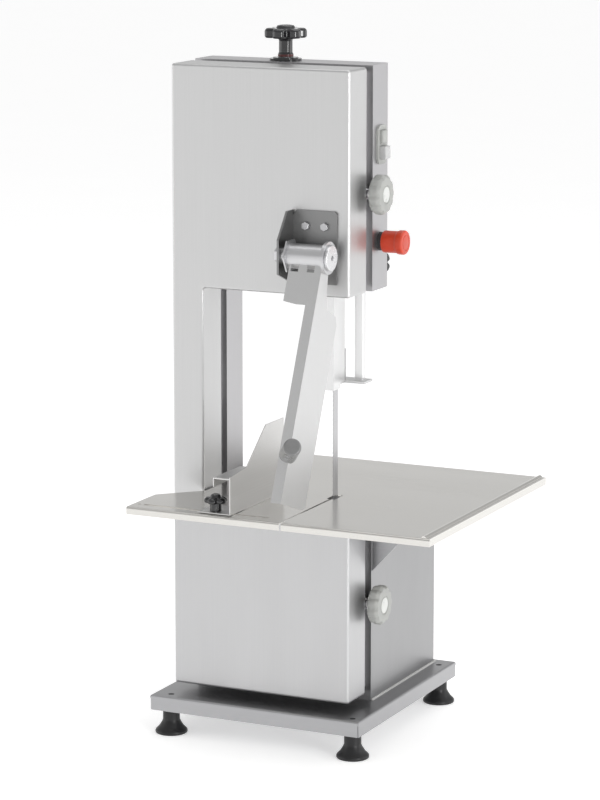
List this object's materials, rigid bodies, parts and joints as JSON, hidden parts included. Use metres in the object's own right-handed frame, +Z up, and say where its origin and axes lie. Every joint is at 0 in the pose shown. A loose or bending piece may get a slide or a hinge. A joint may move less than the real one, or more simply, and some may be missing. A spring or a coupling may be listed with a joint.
{
  "type": "bone saw",
  "caption": "Tabletop band saw for cutting bone and frozen meat, with C-shaped steel housing, fence, guarded blade and pusher arm.",
  "frame": {"origin": "centre of the whole machine's footprint box, on the plane its feet stand on", "axes": "+Z up, -Y towards the operator, +X towards the controls"},
  "size_m": [0.454, 0.4793, 0.958],
  "materials": {
    "door_steel": "vertical-grain brushed stainless steel",
    "case_steel": "brushed stainless steel",
    "tray_steel": "brushed stainless steel",
    "table_steel": "fine brushed stainless steel, fairly glossy",
    "fence_steel": "bent stainless sheet",
    "arm_steel": "satin stainless sheet",
    "bright_steel": "turned and ground steel",
    "bolt_steel": "plain stainless fasteners",
    "blade_steel": "tempered band steel",
    "wheel_aluminium": "cast aluminium",
    "motor_aluminium": "cast aluminium",
    "bronze": "sintered bronze",
    "gasket_rubber": "black foam rubber",
    "foot_rubber": "moulded black rubber",
    "black_gloss": "glossy black thermoset",
    "black_matte": "black moulded plastic",
    "grey_plastic": "grey moulded plastic",
    "light_plastic": "light grey moulded plastic",
    "nylon": "natural nylon",
    "red_plastic": "red moulded plastic"
  },
  "bodies": {
    "root": {"base_tray": "tray_steel", "rubber_feet": "foot_rubber", "main_frame": "case_steel", "door_gasket": "gasket_rubber", "head_case": "case_steel", "motor_cabinet": "case_steel", "rear_cover": "case_steel", "cable_gland": "black_matte", "column_sill": "door_steel", "case_hinge_leaves": "bright_steel", "hinge_pins": "bright_steel", "door_knob_studs": "bright_steel", "saw_blade": "blade_steel", "carriage_rails": "case_steel", "spring_washers": "bright_steel", "tension_collar": "black_gloss", "motor_housing": "motor_aluminium", "motor_bearings": "bright_steel", "work_table": "table_steel", "table_supports": "tray_steel", "case_fasteners": "bolt_steel", "guide_clamp": "wheel_aluminium", "lower_guide_and_scrapers": "nylon", "switch_base": "grey_plastic", "estop_collar": "black_matte"},
    "upper_door": {"upper_door": "door_steel", "upper_door_leaves": "bright_steel", "arm_bracket": "arm_steel", "arm_bracket_bolts": "bolt_steel", "arm_pivot_shaft": "bright_steel", "arm_end_screw": "bright_steel"},
    "lower_door": {"lower_door": "door_steel", "lower_door_leaves": "bright_steel"},
    "pusher_arm": {"pusher_arm": "arm_steel", "arm_hub": "bright_steel", "arm_bushes": "bronze", "arm_handle": "grey_plastic"},
    "upper_door_knob": {"upper_door_knob": "grey_plastic"},
    "lower_door_knob": {"lower_door_knob": "grey_plastic"},
    "tension_carriage": {"tension_carriage": "case_steel", "upper_wheel_axle": "bright_steel"},
    "upper_wheel": {"upper_wheel": "wheel_aluminium", "upper_wheel_bearings": "bright_steel"},
    "tension_screw": {"tension_screw": "bright_steel", "star_knob": "black_gloss"},
    "lower_wheel": {"lower_wheel": "wheel_aluminium", "motor_rotor": "bright_steel", "lower_wheel_nut": "bright_steel"},
    "blade_guide": {"guide_bar": "bright_steel", "guide_foot": "arm_steel", "blade_guard": "arm_steel", "upper_guide_blocks": "nylon"},
    "backup_roller": {"backup_roller": "bright_steel"},
    "guide_clamp_knob": {"guide_clamp_knob": "black_gloss"},
    "fence": {"fence_plate": "fence_steel", "fence_stud": "bright_steel"},
    "fence_knob": {"fence_knob": "black_gloss"},
    "start_button": {"start_button": "grey_plastic"},
    "stop_button": {"stop_button": "light_plastic"},
    "estop_button": {"estop_button": "red_plastic"}
  },
  "joints": [
    {"name": "upper_door_swing", "type": "hinge", "parent": "root", "child": "upper_door", "pos_m": [-0.212, -0.00585, 0.6], "axis": [0, 0, -1], "range_deg": [0, 110]},
    {"name": "lower_door_swing", "type": "hinge", "parent": "root", "child": "lower_door", "pos_m": [-0.212, -0.00585, 0.2], "axis": [0, 0, -1], "range_deg": [0, 110]},
    {"name": "pusher_arm_swing", "type": "hinge", "parent": "upper_door", "child": "pusher_arm", "pos_m": [0.01, -0.09785, 0.669], "axis": [1, 0, 0], "range_deg": [-55, 26]},
    {"name": "upper_door_knob_turn", "type": "hinge", "parent": "root", "child": "upper_door_knob", "pos_m": [0.07, -0.00435, 0.743], "axis": [1, 0, 0], "continuous": true},
    {"name": "lower_door_knob_turn", "type": "hinge", "parent": "root", "child": "lower_door_knob", "pos_m": [0.07, -0.00435, 0.19], "axis": [1, 0, 0], "continuous": true},
    {"name": "tension_turn", "type": "hinge", "parent": "root", "child": "tension_screw", "pos_m": [-0.0826, 0.02915, 0.95], "axis": [0, 0, 1], "range_deg": [0, 940]},
    {"name": "carriage_slide", "type": "slide", "parent": "root", "child": "tension_carriage", "axis": [0, 0, 1], "range_m": [-0.0039, 0]},
    {"name": "upper_wheel_spin", "type": "hinge", "parent": "tension_carriage", "child": "upper_wheel", "pos_m": [-0.0826, -0.02885, 0.791], "axis": [0, 1, 0], "continuous": true},
    {"name": "lower_wheel_spin", "type": "hinge", "parent": "root", "child": "lower_wheel", "pos_m": [-0.0826, -0.02885, 0.186], "axis": [0, 1, 0], "continuous": true},
    {"name": "guide_slide", "type": "slide", "parent": "root", "child": "blade_guide", "axis": [0, 0, 1], "range_m": [-0.12, 0.095]},
    {"name": "backup_roller_spin", "type": "hinge", "parent": "blade_guide", "child": "backup_roller", "pos_m": [0.01525, -0.01325, 0.514], "axis": [1, 0, 0], "continuous": true},
    {"name": "guide_clamp_turn", "type": "hinge", "parent": "root", "child": "guide_clamp_knob", "pos_m": [0.034, 0.06415, 0.642], "axis": [0, 1, 0], "range_deg": [0, 270]},
    {"name": "fence_slide", "type": "slide", "parent": "root", "child": "fence", "axis": [1, 0, 0], "range_m": [-0.08, 0.04]},
    {"name": "fence_knob_turn", "type": "hinge", "parent": "fence", "child": "fence_knob", "pos_m": [-0.084, -0.17785, 0.35], "axis": [0, 0, 1], "range_deg": [0, 270]},
    {"name": "start_button_press", "type": "slide", "parent": "root", "child": "start_button", "axis": [-1, 0, 0], "range_m": [0, 0.003], "stiffness_N_per_m": 400},
    {"name": "stop_button_press", "type": "slide", "parent": "root", "child": "stop_button", "axis": [-1, 0, 0], "range_m": [0, 0.003], "stiffness_N_per_m": 400},
    {"name": "estop_press", "type": "slide", "parent": "root", "child": "estop_button", "axis": [-1, 0, 0], "range_m": [0, 0.004]}
  ],
  "couplings": [
    {"joint": "upper_wheel_spin", "follows": "lower_wheel_spin", "ratio": 1},
    {"joint": "tension_turn", "follows": "carriage_slide", "rad_per_m": -4188.8}
  ]
}
